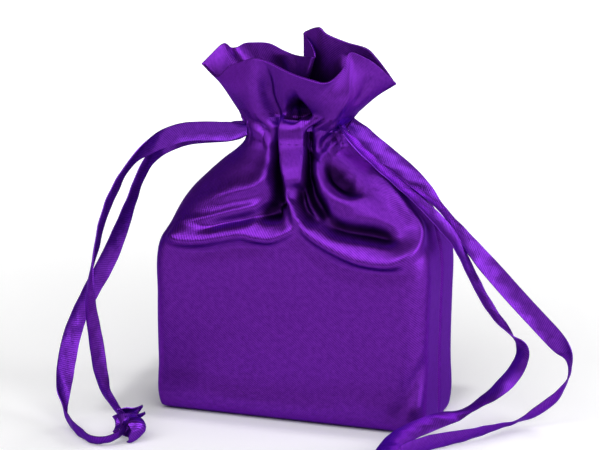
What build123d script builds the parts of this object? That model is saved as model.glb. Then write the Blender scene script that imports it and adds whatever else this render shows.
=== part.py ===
"""Satin drawstring dice bag, standing filled with its neck drawn in.

Frame: +X to the bag's right, +Y to its back, +Z up, in millimetres.
The origin is on the floor under the middle of the bag.
"""

import os
from math import atan2, cos, degrees, pi, radians, sin, tan

from build123d import *

os.makedirs("parts", exist_ok=True)

# ---------------------------------------------------------------- driving sizes
BAG_WIDTH = 88.0
BAG_DEPTH = 40.0
FOLD_HEIGHT = 60.0  # the straight walls end here and the shoulders begin
CLOTH = 0.9  # stands for the satin with its turned edges
FRILL_CLOTH = 1.0  # the frill is the same satin, doubled
NECK_WIDTH = 36.0
NECK_DEPTH = 21.0
NECK_CORNER = 9.5
NECK_SHIFT = -3.0  # the neck is gathered slightly to the left of the middle
CASING_BOTTOM = 88.0
CASING_TOP = 98.0
RIM_HEIGHT = 118.0
RIM_WIDTH = 64.0
RIM_DEPTH = 34.0
RIBBON_WIDTH = 6.0  # quarter-inch satin ribbon
CORD_DIAMETER = 2.0  # a round tube stands for each free stretch of ribbon
FIT_GAP = 0.4  # between pieces that move apart
KNOT_RADIUS = 4.2
STITCH = 0.35  # thickness of the sewing thread
STITCH_LENGTH = 1.5

# Height, width, depth, corner radius and middle of each level of the bag, bottom to top.
BODY_LEVELS = [
    (0.0, BAG_WIDTH - 3, BAG_DEPTH - 3, 5.0, 0.0),
    (2.0, BAG_WIDTH, BAG_DEPTH, 6.5, 0.0),
    (FOLD_HEIGHT, BAG_WIDTH, BAG_DEPTH, 7.0, 0.0),
    (66.0, 86.0, 39.0, 8.0, -0.3),
    (72.0, 79.0, 36.5, 9.0, -1.0),
    (77.0, 69.0, 33.0, 10.0, -1.8),
    (81.0, 58.0, 29.0, 10.0, -2.3),
    (85.0, 46.0, 25.0, 10.0, -2.8),
    (CASING_BOTTOM, NECK_WIDTH, NECK_DEPTH, NECK_CORNER, NECK_SHIFT),
    (CASING_TOP, NECK_WIDTH, NECK_DEPTH, NECK_CORNER, NECK_SHIFT),
]

FRILL_BOTTOM = CASING_TOP + FIT_GAP
FRILL_LEVELS = [
    (FRILL_BOTTOM, NECK_WIDTH - 1.6, NECK_DEPTH - 1.6, 8.7, NECK_SHIFT),
    (104.0, 44.0, 23.0, 10.0, NECK_SHIFT),
    (111.0, 56.0, 28.5, 12.0, NECK_SHIFT),
    (RIM_HEIGHT, RIM_WIDTH, RIM_DEPTH, 14.0, NECK_SHIFT),
]

# Free ribbon stretches, from the casing to the knot. Each list is one strand's route.
LEFT_FRONT_ROUTE = [
    (-18.4, -3.6, 90.8),
    (-24.2, -4.0, 90.4),
    (-31.8, -5.0, 90.2),
    (-40.2, -6.0, 89.0),
    (-47.9, -8.0, 85.4),
    (-54.3, -12.0, 80.1),
    (-58.2, -17.0, 72.2),
    (-60.8, -22.0, 62.5),
    (-61.8, -26.0, 52.1),
    (-62.1, -30.0, 43.3),
    (-60.7, -33.0, 35.5),
    (-58.3, -35.0, 27.7),
    (-56.3, -38.0, 20.9),
    (-53.5, -41.0, 14.6),
    (-49.7, -44.0, 10.4),
    (-44.4, -46.0, 5.8),
]
LEFT_BACK_ROUTE = [
    (-18.4, 3.6, 90.8),
    (-25.5, 3.0, 89.6),
    (-33.4, 1.0, 88.4),
    (-41.4, -1.0, 86.4),
    (-48.2, -3.0, 82.6),
    (-52.6, -6.0, 76.4),
    (-54.9, -10.0, 68.0),
    (-57.3, -14.0, 58.0),
    (-60.6, -19.0, 47.6),
    (-64.3, -23.0, 39.6),
    (-66.9, -27.0, 33.0),
    (-68.5, -31.0, 25.4),
    (-68.8, -35.0, 17.6),
    (-68.4, -38.4, 10.2),
    (-66.6, -41.8, 4.2),
    (-62.4, -46.6, 2.4),
    (-56.8, -52.4, 2.2),
    (-50.6, -57.4, 2.2),
    (-44.8, -56.4, 3.0),
    (-43.6, -49.6, 4.1),
]
RIGHT_FRONT_ROUTE = [
    (12.4, -3.6, 94.8),
    (19.4, -6.0, 90.8),
    (28.7, -9.0, 84.6),
    (38.0, -10.4, 77.6),
    (45.8, -8.0, 69.6),
    (50.2, -4.0, 61.0),
    (52.9, -2.0, 53.2),
    (56.4, -1.0, 45.2),
    (60.7, 0.0, 37.8),
    (66.3, 0.0, 31.6),
    (71.2, 0.4, 27.1),
    (70.4, 0.0, 21.1),
    (65.9, -2.0, 14.6),
    (60.3, -6.0, 9.9),
    (55.2, -13.0, 7.8),
    (50.4, -21.0, 7.9),
    (45.4, -28.4, 7.2),
    (41.8, -36.0, 6.6),
    (40.2, -44.6, 6.2),
    (40.6, -54.4, 5.6),
]
RIGHT_BACK_ROUTE = [
    (12.4, 3.6, 94.8),
    (18.6, 3.8, 91.6),
    (26.6, 4.0, 85.4),
    (34.7, 4.0, 78.4),
    (42.4, 3.0, 71.2),
    (48.2, 2.0, 63.6),
    (53.8, 2.0, 57.0),
    (60.2, 2.0, 50.2),
    (67.5, 2.2, 42.5),
    (74.5, 3.0, 35.2),
    (80.8, 4.0, 28.5),
    (85.2, 5.0, 22.0),
    (83.7, 5.4, 14.5),
    (79.2, 4.0, 8.2),
    (73.4, 0.4, 4.4),
    (67.6, -7.0, 3.4),
    (61.9, -15.6, 3.3),
    (55.8, -23.2, 3.5),
    (49.3, -29.8, 3.4),
    (44.6, -37.0, 3.2),
    (42.0, -45.4, 3.0),
    (42.8, -54.8, 3.2),
]

LEFT_KNOT = (-43.9, -46.4, 4.5)
RIGHT_KNOT = (41.6, -57.4, 4.4)


# ---------------------------------------------------------------- helpers
def lofted(levels, inset=0.0, bottom_cut=0.0, top_extra=0.0):
    """A closed solid through the levels, drawn in by the inset on every side."""
    last = len(levels) - 1
    with BuildPart() as solid:
        for index, (height, width, depth, corner, middle) in enumerate(levels):
            if index == 0:
                height += bottom_cut
            if index == last:
                height += top_extra
            with BuildSketch(Plane.XY.offset(height)):
                with Locations((middle, 0)):
                    RectangleRounded(width - 2 * inset, depth - 2 * inset, corner - inset)
        loft(ruled=True)
    return solid.part


def upright_ring(bottom, top, width, depth, corner, wall):
    """A rounded tube round the neck, open above and below."""
    with BuildPart() as ring:
        with BuildSketch(Plane.XY.offset(bottom)):
            with Locations((NECK_SHIFT, 0)):
                RectangleRounded(width, depth, corner)
                RectangleRounded(width - 2 * wall, depth - 2 * wall, corner - wall, mode=Mode.SUBTRACT)
        extrude(amount=top - bottom)
    return ring.part


def finish(part, name):
    """Label a finished piece and write it."""
    part.label = name
    export_step(part, f"parts/{name}.step")


def bend_radii(route):
    """The largest arcs that the runs on both sides of each point leave room for."""
    points = [Vector(*point) for point in route]
    radii = []
    for before, here, after in zip(points, points[1:], points[2:]):
        run_in = here - before
        run_out = after - here
        half_turn = radians(run_in.get_angle(run_out)) / 2
        radii.append(0.45 * min(run_in.length, run_out.length) / tan(half_turn))
    return radii


def cord_tube(route, name):
    """A round tube along a route of straight runs joined by tangent arcs."""
    radii = bend_radii(route)
    with BuildPart() as tube:
        with BuildLine():
            path = FilletPolyline(*route, radius=radii)
        with BuildSketch(Plane(origin=path @ 0, z_dir=path % 0)):
            Circle(CORD_DIAMETER / 2)
        sweep()
    expected = pi * CORD_DIAMETER**2 / 4 * path.length
    print(
        f"{name}: length {path.length:.1f} mm, volume over section x length"
        f" {tube.part.volume / expected:.4f}, radii {[round(r, 1) for r in radii]}"
    )
    finish(tube.part, name)


# ---------------------------------------------------------------- the two body panels
bag_outside = lofted(BODY_LEVELS)
bag_inside = lofted(BODY_LEVELS, inset=CLOTH, bottom_cut=CLOTH, top_extra=1.0)
SLIT_DEPTH = 10.6  # the opening left in each side seam for the ribbon's two ends
SLIT_MARGIN = 0.9

for name, side in (("front_panel", Keep.TOP), ("back_panel", Keep.BOTTOM)):
    with BuildPart() as panel:
        add(bag_outside)
        add(bag_inside, mode=Mode.SUBTRACT)
        for direction in (-1, 1):
            with Locations((NECK_SHIFT + direction * NECK_WIDTH / 2, 0, CASING_BOTTOM + SLIT_MARGIN)):
                Box(
                    8,
                    SLIT_DEPTH,
                    CASING_TOP - CASING_BOTTOM - 2 * SLIT_MARGIN,
                    align=(Align.CENTER, Align.CENTER, Align.MIN),
                    mode=Mode.SUBTRACT,
                )
        split(bisect_by=Plane.XZ, keep=side)
    finish(panel.part, name)

# ---------------------------------------------------------------- casing facings
CHANNEL_GAP = 2.3  # room for the ribbons between the panel and the facing
FACING_WALL = 0.8
inner_width = NECK_WIDTH - 2 * CLOTH
inner_depth = NECK_DEPTH - 2 * CLOTH
inner_corner = NECK_CORNER - CLOTH
facing_ring = upright_ring(
    CASING_BOTTOM,
    CASING_TOP,
    inner_width - 2 * CHANNEL_GAP,
    inner_depth - 2 * CHANNEL_GAP,
    inner_corner - CHANNEL_GAP,
    FACING_WALL,
)
SEWN_EDGE = 0.6
lower_edge = upright_ring(
    CASING_BOTTOM, CASING_BOTTOM + SEWN_EDGE, inner_width, inner_depth, inner_corner, CHANNEL_GAP
)
upper_edge = upright_ring(
    CASING_TOP - SEWN_EDGE, CASING_TOP, inner_width, inner_depth, inner_corner, CHANNEL_GAP
)
for name, side in (("front_casing", Keep.TOP), ("back_casing", Keep.BOTTOM)):
    with BuildPart() as facing:
        add(facing_ring)
        add(lower_edge)
        add(upper_edge)
        split(bisect_by=Plane.XZ, keep=side)
    finish(facing.part, name)

# ---------------------------------------------------------------- the two frill lips
frill_outside = lofted(FRILL_LEVELS)
frill_inside = lofted(FRILL_LEVELS, inset=FRILL_CLOTH, bottom_cut=-1.0, top_extra=1.0)
for name, offset, side in (("front_frill", FIT_GAP / 2, Keep.TOP), ("back_frill", -FIT_GAP / 2, Keep.BOTTOM)):
    with BuildPart() as frill:
        add(frill_outside)
        add(frill_inside, mode=Mode.SUBTRACT)
        split(bisect_by=Plane.XZ.offset(offset), keep=side)
    finish(frill.part, name)

# ---------------------------------------------------------------- side seams inside the bag
SEAM_WIDTH = 9.0
SEAM_THICKNESS = 0.7
SEAM_BOTTOM = 4.0
seam_length = FOLD_HEIGHT - 2.0 - SEAM_BOTTOM
wall_face = BAG_WIDTH / 2 - CLOTH
STITCH_PITCH = 4.0
SEAM_STITCH = 2.4
for name, direction in (("left", -1), ("right", 1)):
    seam_middle = direction * (wall_face - SEAM_THICKNESS / 2)
    with BuildPart() as seam:
        with Locations((seam_middle, 0, SEAM_BOTTOM + seam_length / 2)):
            Box(SEAM_THICKNESS, SEAM_WIDTH, seam_length)
    finish(seam.part, f"{name}_side_seam")
    thread_middle = direction * (wall_face - SEAM_THICKNESS - STITCH / 2)
    with BuildPart() as stitches:
        for row in range(int(seam_length / STITCH_PITCH)):
            with Locations((thread_middle, 0, SEAM_BOTTOM + STITCH_PITCH * (row + 0.6))):
                Box(STITCH, STITCH, SEAM_STITCH)
    finish(stitches.part, f"{name}_seam_stitches")

# ---------------------------------------------------------------- casing stitch rows
ROW_STITCHES = 36
with BuildSketch() as stitch_outline:
    with Locations((NECK_SHIFT, 0)):
        RectangleRounded(NECK_WIDTH + STITCH, NECK_DEPTH + STITCH, NECK_CORNER + STITCH / 2)
outline_wire = stitch_outline.sketch.face().outer_wire()
for name, height in (("lower", CASING_BOTTOM + 0.5), ("upper", CASING_TOP - 0.5)):
    with BuildPart() as row:
        for index in range(ROW_STITCHES):
            share = (index + 0.5) / ROW_STITCHES
            spot = outline_wire @ share
            along = outline_wire % share
            heading = degrees(atan2(along.Y, along.X))
            with Locations(Location((spot.X, spot.Y, height), (0, 0, heading))):
                Box(STITCH_LENGTH, STITCH, STITCH)
    finish(row.part, f"{name}_casing_stitches")

# ---------------------------------------------------------------- ribbons
LOOP_WALL = 1.0
LOOP_HEIGHT = 3.4
LOOP_GAP = 5.2  # the loop is open where its two ends leave the casing
loop_width = inner_width - 1.2
loop_depth = inner_depth - 1.2
loop_corner = inner_corner - 0.6
RIBBONS = {
    "left": (-1, 90.8, LEFT_FRONT_ROUTE, LEFT_BACK_ROUTE),
    "right": (1, 94.8, RIGHT_FRONT_ROUTE, RIGHT_BACK_ROUTE),
}
for name, (direction, height, front_route, back_route) in RIBBONS.items():
    loop = upright_ring(
        height - LOOP_HEIGHT / 2, height + LOOP_HEIGHT / 2, loop_width, loop_depth, loop_corner, LOOP_WALL
    )
    with BuildPart() as ribbon_loop:
        add(loop)
        with Locations((NECK_SHIFT + direction * loop_width / 2, 0, height)):
            Box(12, LOOP_GAP, 2 * LOOP_HEIGHT, mode=Mode.SUBTRACT)
    finish(ribbon_loop.part, f"{name}_ribbon_loop")
    cord_tube(front_route, f"{name}_ribbon_front")
    cord_tube(back_route, f"{name}_ribbon_back")

# ---------------------------------------------------------------- knots and their tails
TAIL_THICKNESS = 0.6
TAIL_ROOT = 3.0  # each tail starts this far from the knot's centre, inside the ball


def knot_tail(knot, lean, swing, reach):
    """A flat ribbon end that leaves a knot, swung about Z and leaning up from the floor."""
    level = cos(radians(lean))
    outward = Vector(cos(radians(swing)) * level, sin(radians(swing)) * level, sin(radians(lean)))
    across = Vector(-sin(radians(swing)), cos(radians(swing)), 0)
    start = Vector(*knot) + outward * TAIL_ROOT
    with BuildPart() as tail:
        with BuildSketch(Plane(origin=start, x_dir=across, z_dir=outward)):
            Rectangle(RIBBON_WIDTH, TAIL_THICKNESS)
        extrude(amount=reach - TAIL_ROOT)
    return tail.part


KNOTS = {
    "left": (LEFT_KNOT, [(48, 20, 10.0), (-20, -10, 9.0)]),
    "right": (RIGHT_KNOT, [(-12, 205, 11.0), (-8, 270, 11.0)]),
}
for name, (centre, tails) in KNOTS.items():
    with BuildPart() as knot:
        with Locations(centre):
            Sphere(KNOT_RADIUS)
    finish(knot.part, f"{name}_ribbon_knot")
    with BuildPart() as tail_pair:
        for lean, swing, reach in tails:
            add(knot_tail(centre, lean, swing, reach))
        with Locations(centre):
            Sphere(KNOT_RADIUS, mode=Mode.SUBTRACT)
    finish(tail_pair.part, f"{name}_ribbon_tails")
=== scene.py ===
"""Looks of the satin drawstring dice bag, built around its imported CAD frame.

Everything is in metres in the CAD frame: +X to the bag's right, +Y to its back, +Z up, floor at z = 0.
Shapes are worked out in millimetres and scaled once, when a mesh is made.
"""

import math

import bpy
import numpy as np
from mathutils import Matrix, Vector


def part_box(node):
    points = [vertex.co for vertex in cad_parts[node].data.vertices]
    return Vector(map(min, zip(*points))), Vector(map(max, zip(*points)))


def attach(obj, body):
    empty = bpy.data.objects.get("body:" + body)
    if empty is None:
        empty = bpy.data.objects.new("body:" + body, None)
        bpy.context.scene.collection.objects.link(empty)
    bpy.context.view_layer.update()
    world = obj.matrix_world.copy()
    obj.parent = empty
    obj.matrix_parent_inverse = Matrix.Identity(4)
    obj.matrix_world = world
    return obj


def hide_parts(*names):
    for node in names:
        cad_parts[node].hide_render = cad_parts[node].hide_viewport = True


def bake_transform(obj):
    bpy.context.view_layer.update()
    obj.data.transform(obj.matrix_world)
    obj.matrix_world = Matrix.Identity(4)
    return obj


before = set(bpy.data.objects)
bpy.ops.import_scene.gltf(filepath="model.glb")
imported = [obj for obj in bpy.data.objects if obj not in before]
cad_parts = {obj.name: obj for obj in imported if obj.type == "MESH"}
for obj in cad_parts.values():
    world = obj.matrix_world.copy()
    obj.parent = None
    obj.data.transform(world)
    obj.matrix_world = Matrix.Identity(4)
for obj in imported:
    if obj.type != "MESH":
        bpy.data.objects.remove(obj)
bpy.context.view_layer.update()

MM = 0.001


def box_mm(node):
    """A CAD node's lowest and highest corners, in millimetres."""
    low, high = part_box(node)
    return np.array(low) / MM, np.array(high) / MM


# ---- driving sizes, from the frame
panel_low, panel_high = box_mm("front_panel")
casing_low, casing_high = box_mm("front_casing")
HALF_WIDTH = (panel_high[0] - panel_low[0]) / 2
HALF_DEPTH = -panel_low[1]
CASING_BOTTOM = casing_low[2]
CASING_TOP = casing_high[2]
FRILL_BOTTOM = box_mm("front_frill")[0][2]
RIBBON_WIDTH = 6.0
RIBBON_CLOTH = 0.3
FLOOR_CLEAR = 0.2  # a ribbon on the floor keeps this gap
FACING = Vector((0.297, -0.914, 0.276))  # from the bag to the camera, and the side that the ribbons face


# ---- camera
CAMERA_TARGET = Vector((-0.0023, 0.0, 0.0601))
CAMERA_DISTANCE = 0.9
CAMERA_LENS = 170.6  # mm, with a sensor 36 mm wide


def aim(thing, target):
    """Turn a camera or lamp towards a point."""
    thing.rotation_euler = (Vector(target) - thing.location).to_track_quat("-Z", "Y").to_euler()


def add_camera():
    """A long lens at the bag's right front, a little above it."""
    data = bpy.data.cameras.new("camera")
    camera = bpy.data.objects.new("camera", data)
    bpy.context.scene.collection.objects.link(camera)
    camera.location = CAMERA_TARGET + FACING.normalized() * CAMERA_DISTANCE
    data.sensor_width = 36.0
    data.lens = CAMERA_LENS
    data.clip_start = 0.01
    data.clip_end = 20.0
    aim(camera, CAMERA_TARGET)
    bpy.context.scene.camera = camera


# ---- shader nodes
WHITE = (1.0, 1.0, 1.0, 1.0)


def node(tree, kind, inputs=None, **settings):
    """Add a shader node. inputs gives its sockets plain values or the outputs that feed them."""
    made = tree.nodes.new(kind)
    for key, value in settings.items():
        setattr(made, key, value)
    for key, value in (inputs or {}).items():
        if isinstance(value, bpy.types.NodeSocket):
            tree.links.new(value, made.inputs[key])
        else:
            made.inputs[key].default_value = value
    return made


def ramp(tree, value, start=0.0, end=1.0, low=0.0, high=1.0, curve="LINEAR"):
    """A number mapped from start..end to low..high."""
    sockets = {"Value": value, "From Min": start, "From Max": end, "To Min": low, "To Max": high}
    return node(tree, "ShaderNodeMapRange", sockets, interpolation_type=curve).outputs["Result"]


def vector_math(tree, operation, first, second=(0.0, 0.0, 0.0), result="Vector"):
    """One sum with vectors."""
    made = node(tree, "ShaderNodeVectorMath", {0: first, 1: second}, operation=operation)
    return made.outputs[result]


def product(tree, first, second):
    """Two numbers multiplied."""
    return node(tree, "ShaderNodeMath", {0: first, 1: second}, operation="MULTIPLY").outputs["Value"]


# ---- floor and light
WALL_LIGHT = 0.25
CEILING_LIGHT = 0.04
WALL_TOP, CEILING_FROM = 0.05, 0.75  # the upward parts of the directions between which the light fades
FLOOR_SIZE = 12.0
FLOOR_GLOW = 0.20  # painted light: the floor's own glow near the bag
FLOOR_FAR_GLOW = 0.9
GLOW_NEAR, GLOW_FAR = 0.1, 0.5  # the distances from the bag between which the glow rises
FLOOR_REFLECTED = 0.15  # how much of its own glow the floor gives to the bag
PAINTED_SHADOW_CENTRE = (-0.008, 0.004, 0.0)  # painted shadow: the floor's glow fades out around the foot of the bag
PAINTED_SHADOW_HALF = (0.05, 0.025, 1.0)
PAINTED_SHADOW_REACH = 0.009
# Each softbox: name, place, target, width and height in metres, and its brightness as a reflection.
SOFTBOXES = [
    ("key", (0.05, -0.78, 0.84), (0.0, 0.0, 0.06), (2.0, 0.8), 2.9),
    ("side", (1.0, 0.05, 0.4), (0.0, 0.0, 0.05), (0.7, 0.6), 4.5),
    ("back", (0.35, 0.9, 0.9), (0.0, 0.0, 0.05), (0.8, 0.5), 4.0),
]


def add_softbox(name, place, target, size, radiance):
    """One rectangular lamp."""
    data = bpy.data.lights.new(name, "AREA")
    data.shape = "RECTANGLE"
    data.size, data.size_y = size
    data.energy = radiance * math.pi * size[0] * size[1]
    lamp = bpy.data.objects.new(name, data)
    bpy.context.scene.collection.objects.link(lamp)
    lamp.location = place
    aim(lamp, target)


def add_world():
    """A white room whose ceiling is dimmer than its walls. What shows behind the bag stays plain white."""
    world = bpy.data.worlds.new("studio")
    bpy.context.scene.world = world
    world.use_nodes = True
    tree = world.node_tree
    tree.nodes.clear()
    place = node(tree, "ShaderNodeTexCoord").outputs["Generated"]
    upward = node(tree, "ShaderNodeSeparateXYZ", {"Vector": place}).outputs["Z"]
    light = ramp(tree, upward, WALL_TOP, CEILING_FROM, WALL_LIGHT, CEILING_LIGHT, "SMOOTHSTEP")
    room = node(tree, "ShaderNodeBackground", {"Strength": light}).outputs["Background"]
    plain = node(tree, "ShaderNodeBackground", {"Color": WHITE}).outputs["Background"]
    seen = node(tree, "ShaderNodeLightPath").outputs["Is Camera Ray"]
    choice = node(tree, "ShaderNodeMixShader", {"Fac": seen, 1: room, 2: plain}).outputs["Shader"]
    node(tree, "ShaderNodeOutputWorld", {"Surface": choice})


def floor_material():
    """Matt white with a glow of its own, painted light that is brighter far away, and a painted shadow where
    it fades at the bag's foot.
    """
    material = bpy.data.materials.new("floor_white")
    material.use_nodes = True
    tree = material.node_tree
    place = node(tree, "ShaderNodeTexCoord").outputs["Object"]
    distance = vector_math(tree, "LENGTH", place, result="Value")
    glow = ramp(tree, distance, GLOW_NEAR, GLOW_FAR, FLOOR_GLOW, FLOOR_FAR_GLOW, "SMOOTHSTEP")
    # painted shadow: the glow fades out near the bag's foot
    mirrored = vector_math(tree, "ABSOLUTE", vector_math(tree, "SUBTRACT", place, PAINTED_SHADOW_CENTRE))
    outside = vector_math(tree, "MAXIMUM", vector_math(tree, "SUBTRACT", mirrored, PAINTED_SHADOW_HALF))
    gap = vector_math(tree, "LENGTH", outside, result="Value")
    glow_with_painted_shadow = product(tree, glow, ramp(tree, gap, end=PAINTED_SHADOW_REACH, curve="SMOOTHSTEP"))
    seen = node(tree, "ShaderNodeLightPath").outputs["Is Camera Ray"]
    strength = product(tree, glow_with_painted_shadow, ramp(tree, seen, low=FLOOR_REFLECTED))
    shader = tree.nodes["Principled BSDF"]
    shader.inputs["Base Color"].default_value = (0.9, 0.9, 0.9, 1.0)
    shader.inputs["Roughness"].default_value = 0.9
    shader.inputs["Specular IOR Level"].default_value = 0.2
    shader.inputs["Emission Color"].default_value = WHITE
    tree.links.new(strength, shader.inputs["Emission Strength"])
    return material


def add_studio():
    """A white floor with a painted glow and a painted shadow, under soft studio light."""
    bpy.context.scene.view_settings.view_transform = "Standard"
    add_world()
    for softbox in SOFTBOXES:
        add_softbox(*softbox)
    bpy.ops.mesh.primitive_plane_add(size=FLOOR_SIZE)
    floor = bpy.context.object
    floor.name = "floor"
    floor.data.materials.append(floor_material())


add_camera()
add_studio()


# ---- materials
PAINTED_SHADE_STRENGTH = 0.88  # painted shade: how much of its colour the cloth loses at the bottom of its deepest folds and low in the mouth
PAINTED_SHADE_FROM = (46.0, 56.0)  # the heights over which the slack dips of the filled part give way to folds and their painted shade
CREASE_STARTS = 0.3  # depths of a fold, in mm, over which its painted shade deepens
CREASE_FULL = 3.4
WAVE_PER_METRE = 2 * math.pi / 20.0  # a wave texture's scale that gives one band each metre
FLECK_SIZE = 0.35  # thread pitches
MOTTLE_SCALE = 90.0
GLOSS_TINT = (0.45, 0.2, 0.8, 1.0)


def satin(name, dark, light, thread_pitch, slant, roughness):
    """Glossy woven satin: slanted fine twill lines, soft mottling and a coloured gloss. UVs are in metres.

    Painted shade: its colour is darkened where the mesh's own shade values say that the cloth lies deep in a
    fold or low in the mouth.
    """
    material = bpy.data.materials.new(name)
    material.use_nodes = True
    tree = material.node_tree
    place = node(tree, "ShaderNodeTexCoord").outputs["UV"]
    slanted = {"Vector": place, "Rotation": (0.0, 0.0, slant)}
    turned = node(tree, "ShaderNodeMapping", slanted).outputs["Vector"]
    lines = {"Vector": turned, "Scale": WAVE_PER_METRE / thread_pitch}
    lines.update({"Distortion": 1.2, "Detail": 2.0, "Detail Scale": 3.0})
    twill = node(tree, "ShaderNodeTexWave", lines, bands_direction="X", wave_profile="SIN")
    spots = {"Vector": turned, "Scale": FLECK_SIZE / thread_pitch, "Detail": 3.0}
    fleck = node(tree, "ShaderNodeTexNoise", spots)
    clouds = {"Vector": place, "Scale": MOTTLE_SCALE, "Detail": 4.0}
    mottle = node(tree, "ShaderNodeTexNoise", clouds).outputs["Fac"]
    mixed = {"Factor": 0.55, "A": twill.outputs["Fac"], "B": fleck.outputs["Fac"]}
    weave = node(tree, "ShaderNodeMix", mixed, data_type="FLOAT").outputs["Result"]
    shades = {"Factor": weave, "A": (*dark, 1.0), "B": (*light, 1.0)}
    tint = node(tree, "ShaderNodeMix", shades, data_type="RGBA").outputs["Result"]
    # painted shade: the colour is darkened by the mesh's own shade values
    painted_shade = node(tree, "ShaderNodeAttribute", attribute_name="painted_shade").outputs["Fac"]
    kept = ramp(tree, painted_shade, low=1.0, high=1.0 - PAINTED_SHADE_STRENGTH)
    colour = node(tree, "ShaderNodeVectorMath", {"Vector": tint, "Scale": kept}, operation="SCALE")
    bumps = {"Strength": 0.6, "Distance": 0.00014, "Height": weave}
    grain = node(tree, "ShaderNodeTangent", direction_type="UV_MAP", uv_map="cloth")
    shader = tree.nodes["Principled BSDF"]
    shader.inputs["Metallic"].default_value = 0.9
    shader.inputs["Specular IOR Level"].default_value = 0.3
    shader.inputs["Specular Tint"].default_value = GLOSS_TINT
    shader.inputs["Anisotropic"].default_value = 0.45
    for socket, output in (
        ("Base Color", colour.outputs["Vector"]),
        ("Roughness", ramp(tree, mottle, low=roughness - 0.05, high=roughness + 0.07)),
        ("Normal", node(tree, "ShaderNodeBump", bumps).outputs["Normal"]),
        ("Tangent", grain.outputs["Tangent"]),
    ):
        tree.links.new(output, shader.inputs[socket])
    return material


CLOTH = satin("purple_satin", (0.046, 0.004, 0.15), (0.225, 0.03, 0.53), 0.00062, -0.9, 0.33)
RIBBON = satin("ribbon_satin", (0.06, 0.006, 0.2), (0.22, 0.035, 0.56), 0.0006, 1.2, 0.33)
THREAD = satin("thread", (0.09, 0.008, 0.26), (0.16, 0.016, 0.42), 0.0004, 0.6, 0.5)


# ---- mesh helpers
def smooth_mesh(name, points, faces, material, uvs=None):
    """A smooth-shaded mesh object from millimetre points. uvs holds one pair in metres for each point."""
    mesh = bpy.data.meshes.new(name)
    mesh.from_pydata((np.asarray(points) * MM).tolist(), [], faces)
    mesh.polygons.foreach_set("use_smooth", [True] * len(mesh.polygons))
    if uvs is not None:
        layer = mesh.uv_layers.new(name="cloth")
        corner_points = np.zeros(len(mesh.loops), int)
        mesh.loops.foreach_get("vertex_index", corner_points)
        layer.data.foreach_set("uv", np.asarray(uvs, float)[corner_points].ravel())
    mesh.materials.append(material)
    made = bpy.data.objects.new(name, mesh)
    bpy.context.scene.collection.objects.link(made)
    return made


def grid_faces(rows, columns, closed=False):
    """Quads of a grid of points stored row by row. closed joins the last column to the first."""
    faces = []
    for row in range(rows - 1):
        for column in range(columns if closed else columns - 1):
            a = row * columns + column
            b = row * columns + (column + 1) % columns
            faces.append((a, b, b + columns, a + columns))
    return faces


CUT_EDGE = 62.0  # degrees: a cloth's cut edges stay sharp where its folds are smooth


def thicken(thing, thickness, offset=-1.0):
    """Give a single sheet its cloth thickness: inwards at offset -1, both ways at 0."""
    solid = thing.modifiers.new("thickness", "SOLIDIFY")
    solid.thickness = thickness * MM
    solid.offset = offset
    depsgraph = bpy.context.evaluated_depsgraph_get()
    thing.data = bpy.data.meshes.new_from_object(thing.evaluated_get(depsgraph))
    thing.modifiers.clear()
    thing.data.polygons.foreach_set("use_smooth", [True] * len(thing.data.polygons))
    thing.data.set_sharp_from_angle(angle=math.radians(CUT_EDGE))


def lengths_along(points):
    """The length of a polyline from its start to each of its points."""
    return np.concatenate([[0.0], np.cumsum(np.linalg.norm(np.diff(points, axis=0), axis=1))])


def at_lengths(values, lengths, wanted):
    """A polyline's points, or other rows that go with them, at the wanted lengths."""
    return np.stack([np.interp(wanted, lengths, column) for column in values.T], axis=1)


def resample(points, count):
    """Points evenly spaced by length along a polyline."""
    points = np.asarray(points, float)
    lengths = lengths_along(points)
    return at_lengths(points, lengths, np.linspace(0.0, lengths[-1], count))


STEPS_BETWEEN = 24  # of a smooth curve, between two of the points it goes through


def through(points, count):
    """A smooth curve through given points, evenly spaced by length."""
    last = len(points) - 1
    places = np.linspace(0, last, STEPS_BETWEEN * last + 1)
    return resample(spread_rows(points, np.arange(last + 1), places), count)


def spread_rows(values, knots, wanted):
    """Smooth rows through the given ones, by cubic pieces along their knots."""
    values = np.asarray(values, float)
    knots = np.asarray(knots, float)
    steps = np.diff(knots)
    slopes = np.diff(values, axis=0) / steps.reshape((-1,) + (1,) * (values.ndim - 1))
    tangents = np.zeros_like(values)
    tangents[1:-1] = (slopes[1:] + slopes[:-1]) / 2
    tangents[0] = slopes[0]
    tangents[-1] = slopes[-1]
    made = []
    for place in wanted:
        index = min(int(np.searchsorted(knots, place, side="right")) - 1, len(knots) - 2)
        h = steps[index]
        t = (place - knots[index]) / h
        made.append(
            values[index] * (1 + 2 * t) * (1 - t) ** 2
            + tangents[index] * h * t * (1 - t) ** 2
            + values[index + 1] * t * t * (3 - 2 * t)
            + tangents[index + 1] * h * t * t * (t - 1)
        )
    return np.array(made)


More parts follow.
